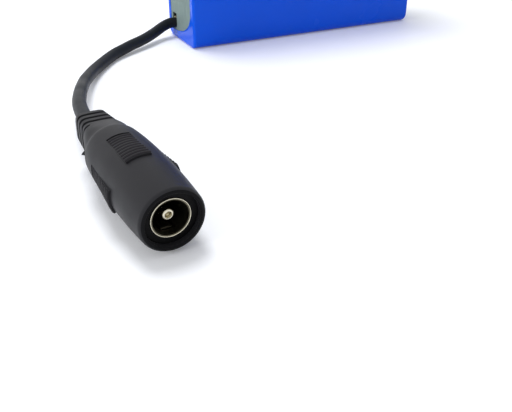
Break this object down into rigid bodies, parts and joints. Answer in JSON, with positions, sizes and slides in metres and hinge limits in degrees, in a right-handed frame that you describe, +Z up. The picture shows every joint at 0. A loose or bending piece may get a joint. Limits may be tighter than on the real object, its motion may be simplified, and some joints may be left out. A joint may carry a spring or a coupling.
{
  "type": "battery pack",
  "caption": "Block-shaped rechargeable battery pack in a blue shrink sleeve, with a short cable that ends in a moulded coaxial power socket.",
  "frame": {"origin": "centre of the pack's bottom face, on the surface that it stands on", "axes": "+X along the cells, away from the cable end; +Y through the thin side, away from the broad front face; +Z up"},
  "size_m": [0.1237, 0.1188, 0.0598],
  "materials": {
    "blue_film": "glossy shrink film",
    "insulating_paper": "grey-green barley paper",
    "bracket_plastic": "satin",
    "can_steel": "nickel-plated",
    "cell_film": "shrink film",
    "cap_steel": "nickel-plated",
    "gasket_plastic": "plain",
    "washer_paper": "white paper",
    "winding_foil": "wound foil",
    "nickel": "bright strip",
    "board_laminate": "solder mask",
    "chip_plastic": "moulded",
    "component_ceramic": "plain",
    "solder": "tinned",
    "white_insulation": "wire insulation",
    "red_insulation": "wire insulation",
    "black_insulation": "wire insulation",
    "hot_glue": "milky",
    "cable_jacket": "satin black",
    "moulded_black": "satin black",
    "core_plastic": "satin black",
    "contact_nickel": "nickel-plated"
  },
  "bodies": {
    "pack": {"shrink_sleeve": "blue_film", "cable_end_paper": "insulating_paper", "far_end_paper": "insulating_paper", "front_board_paper": "insulating_paper", "back_board_paper": "insulating_paper", "top_paper": "insulating_paper", "bottom_paper": "insulating_paper", "cable_end_bracket": "bracket_plastic", "far_end_bracket": "bracket_plastic", "cell_1_can": "can_steel", "cell_1_jacket": "cell_film", "cell_1_cap": "cap_steel", "cell_1_gasket": "gasket_plastic", "cell_1_washer": "washer_paper", "cell_1_winding": "winding_foil", "cell_2_can": "can_steel", "cell_2_jacket": "cell_film", "cell_2_cap": "cap_steel", "cell_2_gasket": "gasket_plastic", "cell_2_washer": "washer_paper", "cell_2_winding": "winding_foil", "cell_3_can": "can_steel", "cell_3_jacket": "cell_film", "cell_3_cap": "cap_steel", "cell_3_gasket": "gasket_plastic", "cell_3_washer": "washer_paper", "cell_3_winding": "winding_foil", "negative_strip": "nickel", "first_link_strip": "nickel", "second_link_strip": "nickel", "positive_strip": "nickel", "board_insulator": "insulating_paper", "protection_board": "board_laminate", "power_transistors": "chip_plastic", "protection_chip": "chip_plastic", "small_components": "component_ceramic", "solder_joints": "solder", "sense_wire": "white_insulation", "positive_wire": "red_insulation", "red_lead": "red_insulation", "black_lead": "black_insulation", "glue_anchor": "hot_glue", "output_cable": "cable_jacket", "connector_housing": "moulded_black", "connector_core": "core_plastic", "contact_sleeve": "contact_nickel", "centre_pin": "contact_nickel", "connector_red_lead": "red_insulation", "connector_black_lead": "black_insulation"},
    "spring_contact": {"contact_leaf": "contact_nickel"}
  },
  "joints": [
    {"name": "contact_flex", "type": "hinge", "parent": "pack", "child": "spring_contact", "pos_m": [-0.07968, -0.09812, 0.00331], "axis": [0.9972, 0.075, 0], "range_deg": [0, 4.5], "stiffness_Nm_per_rad": 0.1}
  ]
}
